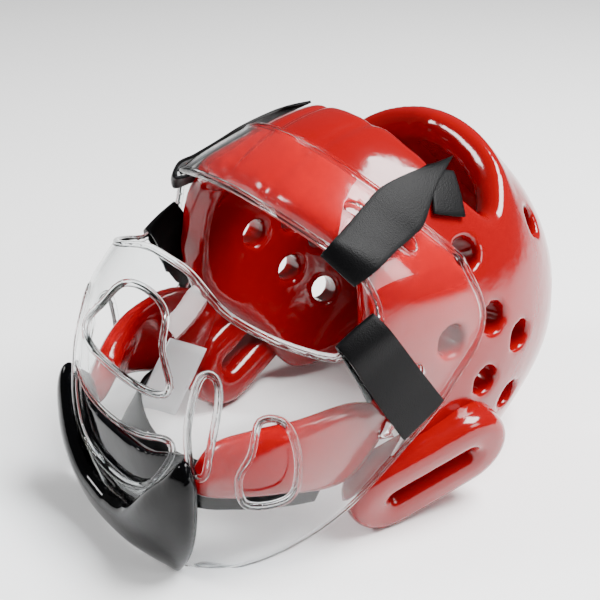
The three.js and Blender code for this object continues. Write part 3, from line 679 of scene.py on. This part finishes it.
def eye_cutter(reach=9, steps=6):
    """A slice of the shield between its eye rims, a little thicker than the wall."""
    rows = []
    for turn in eye_turns():
        low, high = eye_rim(turn, 1), eye_rim(turn, 2)
        outer = [(mix(low, high, j / steps), reach) for j in range(steps + 1)]
        inner = [(mix(high, low, j / steps), -reach) for j in range(steps + 1)]
        rows.append([shield_point(math.radians(turn), up, lift) for up, lift in outer + inner])
    return ring_grid("eye_window", rows)


# %% [markdown]
# A bead is a round tube along a rim. A bevelled curve would do the same, but a mesh tube joins the shield's
# mesh straight away. The tubes cross the sheet and aren't merged with it.

# %% Beads
def tube(name, path, radius, closed=True, sides=10):
    """Round bead along a path."""
    rings = []
    n = len(path)
    normal = None
    for k, point in enumerate(path):
        before = path[k - 1] if closed or k else path[0]
        after = path[(k + 1) % n] if closed or k + 1 < n else path[-1]
        ahead = (after - before).normalized()
        normal = ahead.orthogonal() if normal is None else normal - ahead * normal.dot(ahead)
        normal.normalize()
        side = ahead.cross(normal)
        rings.append([point + (normal * math.cos(a) + side * math.sin(a)) * radius
                      for a in (2 * math.pi * j / sides for j in range(sides))])
    if closed:
        twist = min(range(sides), key=lambda s: (rings[0][s] - rings[-1][0]).length)
        rings.append(rings[0][twist:] + rings[0][:twist])
    return ring_grid(name, rings, caps=not closed)


def even_path(path, step, closed=True):
    """The same path with points one step apart, so that a bead's rings don't bunch up."""
    points = path + [path[0]] if closed else path
    lengths = [0]
    for a, b in zip(points, points[1:]):
        lengths.append(lengths[-1] + (b - a).length)
    count = max(8, int(lengths[-1] / step))
    out = []
    i = 0
    for k in range(count if closed else count + 1):
        at = lengths[-1] * k / count
        while i < len(lengths) - 2 and lengths[i + 1] < at:
            i += 1
        span = lengths[i + 1] - lengths[i] or 1
        out.append(points[i].lerp(points[i + 1], (at - lengths[i]) / span))
    return out


def outer_path(across=60, tall=50):
    shares = [-1 + 2 * k / across for k in range(across + 1)]
    levels = [k / tall for k in range(1, tall)]
    middle = -SHIELD_WALL / 2
    path = [shield_point(*shield_edge(s, 0), middle) for s in shares]
    path += [shield_point(*shield_edge(1, v), middle) for v in levels]
    path += [shield_point(*shield_edge(s, 1), middle) for s in shares[::-1]]
    path += [shield_point(*shield_edge(-1, v), middle) for v in levels[::-1]]
    return path


# %% Finished shield
# How far each cutter reaches on either side of the shield: more where the shield bends away behind it.
REACH = {"nose": 40, "mouth": 45, "side": 15, "strap": 12}
BEAD_STEP = 2.2
shield = shield_sheet()
cutters = [eye_cutter(), window_cutter(window_outline(NOSE), NOSE, 1, REACH["nose"]),
           window_cutter(window_outline(MOUTH), MOUTH, 1, REACH["mouth"])]
bead_paths = [eye_path(-SHIELD_WALL / 2), window_path(window_outline(NOSE), NOSE, 1),
              window_path(window_outline(MOUTH), MOUTH, 1), outer_path()]
for side in (1, -1):
    for window in (SIDE_SLOT, CHEEK_SLOT):
        cutters.append(window_cutter(window_outline(window), window, side, REACH["side"]))
        bead_paths.append(window_path(window_outline(window), window, side))
    for slot in STRAP_SLOTS:
        cutters.append(window_cutter(slot_outline(), slot, side, REACH["strap"]))
subtract(shield, cutters)
shield.data.polygons.foreach_set("use_smooth", [True] * len(shield.data.polygons))
beads = [tube(f"bead_{k}", even_path(path, BEAD_STEP), BEAD_RADIUS) for k, path in enumerate(bead_paths)]
bpy.ops.object.select_all(action="DESELECT")
for piece in beads + [shield]:
    piece.select_set(True)
bpy.context.view_layer.objects.active = shield
bpy.ops.object.join()
place(shield, "face_shield", CLEAR)

# %% [markdown]
# The chin pad outside the shield and the chin cup inside it are dipped black foam, thick in the middle and
# thin at the rim. They lie on the shield, so both are a double skin over the shield's own surface, lifted
# off it by less near their edges.

# %% Chin pieces
# Turn, then the upper edge of the pad and of the cup as shares of the shield's reach.
PAD_EDGE = [(0, -1.04, -0.84), (14, -1.00, -0.82), (23, -0.89, -0.78), (28, -0.82, -0.76),
            (32, -0.74, -0.74), (41, -0.80, -0.78)]
PAD_WALL, CUP_WALL = 9, 11


def chin_foam(name, column, turns, low, near, far, across=70, tall=40):
    layers = []
    for onto in (near, far):
        layer = []
        for j in range(tall + 1):
            row = []
            for k in range(across + 1):
                x, level = -1 + 2 * k / across, j / tall
                high = SHIELD_REACH * table_at(PAD_EDGE, abs(x) * turns[1], column)
                rim = min(1, 5 * (1 - abs(x)), 3.5 * min(level, 1 - level))
                plump = 0.25 + 0.75 * math.sqrt(max(0, 1 - (1 - rim) ** 2))
                lift = mix(near, far, plump) if onto == far else near
                turn = math.radians(x * mix(turns[0], turns[1], level))
                row.append(shield_point(turn, mix(low, high, level), lift))
            layer.append(row)
        layers.append(layer)
    return double_skin(name, layers)


pad = chin_foam("chin_foam_outside", 1, (61, 41), SHIELD_BOTTOM, 2 * GAP, PAD_WALL)
soften(pad, face_mm=0.9, rounds=5)
place(pad, "chin_pad", BLACK)
cup_near = -SHIELD_WALL - 3 * GAP
cup = chin_foam("chin_foam_inside", 2, (48, 30), SHIELD_BOTTOM + CUP_WALL / 2, cup_near, cup_near - CUP_WALL)
soften(cup, face_mm=1.0, rounds=6)
place(cup, "chin_cup", BLACK)

# %% [markdown]
# Each strap is a flat strip that lies on the cap and the shield, turns round the shield's rim and runs back
# inside. Its two edges have their own stations, so that the fold follows the rim. It is drawn directly,
# because a remesh would wear so thin a piece away.

# %% Straps
# Seat, then turn and place of the front edge and of the rear edge, and how far the strap stands off its seat.
UPPER_STRAP = [("cap", 60, 36.5, 75, 32, 6), ("cap", 47.5, 42.5, 62.5, 43, 5),
               ("shield", 38.6, 0.30, 54.2, 0.27, 0.8), ("shield", 37.6, 0.22, 53.6, 0.22, 0),
               ("shield", 36.3, 0.14, 52.3, 0.15, 0),
               ("shield", 36, 0.085, 51.8, 0.07, 1.5), ("rim", 36, 0.045, 51, 0.003, 0),
               ("inside", 36.5, 0.085, 51, 0.065, 1.6), ("inside", 37.5, 0.14, 50.5, 0.12, 1.7),
               ("inside", 38.5, 0.18, 50.5, 0.17, 1.4)]
LOWER_STRAP = [("shield", 88.3, -0.40, 89.3, -0.225, 2), ("shield", 83, -0.355, 86, -0.19, 0.6),
               ("shield", 77.2, -0.315, 80.9, -0.153, 0), ("shield", 70, -0.268, 74, -0.112, 0),
               ("shield", 63, -0.225, 67, -0.08, 1.6), ("rim", 58.4, -0.2, 61.6, -0.055, 0),
               ("inside", 63, -0.225, 67, -0.08, 1.9), ("inside", 71, -0.28, 75, -0.13, 0.9),
               ("inside", 77, -0.33, 80, -0.18, 0)]


def strap_point(row, share):
    seat, front_turn, front_at, rear_turn, rear_at, off = row
    turn, at = mix(front_turn, rear_turn, share), mix(front_at, rear_at, share)
    clear = STRAP_WALL / 2 + GAP
    if seat == "cap":
        return cap_point(turn, at, -clear - off)
    lift = {"shield": clear + off, "rim": -SHIELD_WALL / 2, "inside": -SHIELD_WALL - clear - off}[seat]
    return shield_point(math.radians(turn), at * SHIELD_REACH, lift)


def strip(name, lines, wall):
    """Strap through lines of points that lie side by side, with a thickness."""
    steps, across = len(lines[0]) - 1, len(lines) - 1
    at = lambda k, j: lines[min(across, max(0, j))][min(steps, max(0, k))]
    rings = []
    for k in range(steps + 1):
        upper, lower = [], []
        for j in range(across + 1):
            ahead, side = at(k + 1, j) - at(k - 1, j), at(k, j + 1) - at(k, j - 1)
            out = ahead.cross(side).normalized() * wall / 2
            upper.append(at(k, j) + out)
            lower.append(at(k, j) - out)
        rings.append(upper + lower[::-1])
    return ring_grid(name, rings)


def rig_strap(name, rows, steps=80, across=10):
    lines = [curve_points([strap_point(row, j / across) for row in rows], steps) for j in range(across + 1)]
    piece = strip(name, lines, STRAP_WALL)
    length = sum((b - a).length for a, b in zip(lines[across // 2], lines[across // 2][1:]))
    print(name, "is", round(length), "mm long")
    return piece


def finish_strap(piece, node):
    add_modifier(piece, "BEVEL", width=0.0005, segments=2, limit_method="ANGLE")
    apply_modifiers(piece)
    place(piece, node, WEB)


# %% Finished straps
for which, rows in (("upper", UPPER_STRAP), ("lower", LOWER_STRAP)):
    left = rig_strap(f"webbing_{which}_left", rows)
    right = mirror_copy(left, f"webbing_{which}_right")
    finish_strap(left, f"strap_{which}_left")
    finish_strap(right, f"strap_{which}_right")

# %% [markdown]
# Under the free end of each upper strap a small patch of hook tape is glued to the cap. It follows the cap's
# surface a little above it.


# %% Hook patches
def patch(turn_middle=70, lean_middle=42, spread=7, wall=1.5, count=10):
    offsets = [spread * (-1 + 2 * k / count) for k in range(count + 1)]
    lines = [[cap_point(turn_middle + across, lean_middle + down, -2 * GAP - wall) for across in offsets]
             for down in offsets]
    return strip("hook_patch_left", lines, wall)


left = patch()
right = mirror_copy(left, "hook_patch_right")
finish_strap(left, "strap_patch_left")
finish_strap(right, "strap_patch_right")

# %% [markdown]
# The chin strap runs from under one ear guard round the chin's underside to the other. It is one strip that
# stands on edge, and its other half mirrors the first.

# %% Chin strap
# Side, back and up as shares of the cap's half sizes.
CHIN_STRAP = [(0.68, -0.30, -0.98), (0.67, -0.47, -1.05), (0.58, -0.62, -1.14), (0.38, -0.70, -1.24),
              (0, -0.73, -1.30)]
CHIN_STRAP_WIDTH, CHIN_STRAP_WALL = 24, 2


def chin_strap():
    places = [in_cap(*row) for row in CHIN_STRAP]
    route = places + [Vector((-p.x, p.y, p.z)) for p in places[-2::-1]]
    middle = curve_points(route, 100)
    lines = [[p + Vector((0, 0, CHIN_STRAP_WIDTH * (0.5 - j / 6))) for p in middle] for j in range(7)]
    return strip("chin_webbing", lines, CHIN_STRAP_WALL)


finish_strap(chin_strap(), "chin_strap")

# %% [markdown]
# A blank white label is sewn inside the right jaw wing. It is a thin strip with a slight wave, as cloth has.


# %% Label
def label(width=34, height=46, wall=0.8, wave=0.6, steps=8):
    turn = math.radians(98)
    along, out = Vector((math.cos(turn), math.sin(turn), 0)), Vector((-math.sin(turn), math.cos(turn), 0))
    lines = []
    for j in range(steps + 1):
        row = in_cap(-0.58, -0.47, -0.98) + Vector((0, 0, height * (0.5 - j / steps)))
        lines.append([row + along * (width * (k / steps - 0.5)) + out * (wave * math.sin(3 * k / 8 + j / 4))
                      for k in range(steps + 1)])
    return strip("sewn_label", lines, wall)


piece = label()
place(piece, "inner_label", LABEL)

# %% [markdown]
# A pale studio table under one strong soft light above and behind, with weaker ones from the left and right
# for the shine. The world is dim, because a bright one would wash the red and black out.

# %% Stage
bpy.ops.mesh.primitive_plane_add(size=14, location=(0, 0, 0))
floor = bpy.context.object
floor.name = "studio_floor"
floor.data.materials.append(material("studio_floor", "#fdfdfd", 0.7))
print("stage:", floor.name)


# %% Lights
def area_light(name, place_m, watts, size, target=(0, 0, 0.1)):
    """A square lamp of a size in metres that looks at the target."""
    light = bpy.data.lights.new(name, "AREA")
    light.energy = watts
    light.size = size
    lamp = bpy.data.objects.new(name, light)
    lamp.location = place_m
    lamp.rotation_euler = (Vector(target) - Vector(place_m)).to_track_quat("-Z", "Y").to_euler()
    bpy.context.collection.objects.link(lamp)


area_light("top_light", (0.5, 0.55, 1.4), 84, 0.8)
area_light("left_light", (-0.9, -1.3, 1.1), 26, 0.45)
area_light("right_light", (1.4, 0.5, 0.9), 8, 0.5)
world = bpy.data.worlds.new("studio")
world.use_nodes = True
world.node_tree.nodes["Background"].inputs["Color"].default_value = (1, 1, 1, 1)
world.node_tree.nodes["Background"].inputs["Strength"].default_value = 0.14
bpy.context.scene.world = world

# %% [markdown]
# The camera stands where the photograph was taken from: a little above the head guard, in front and to its
# left, turned so that its picture is the photograph's.

# %% Camera
camera_data = bpy.data.cameras.new("camera")
camera_data.lens = 66
camera_data.sensor_width = 36
camera = bpy.data.objects.new("camera", camera_data)
camera.location = (HEAD_PLACE + Vector((438.5, -396.1, 295.9))) * 0.001
camera.rotation_euler = (math.radians(62.5), 0, math.radians(52))
bpy.context.collection.objects.link(camera)
bpy.context.scene.camera = camera
print("camera at", [round(value, 3) for value in camera.location])
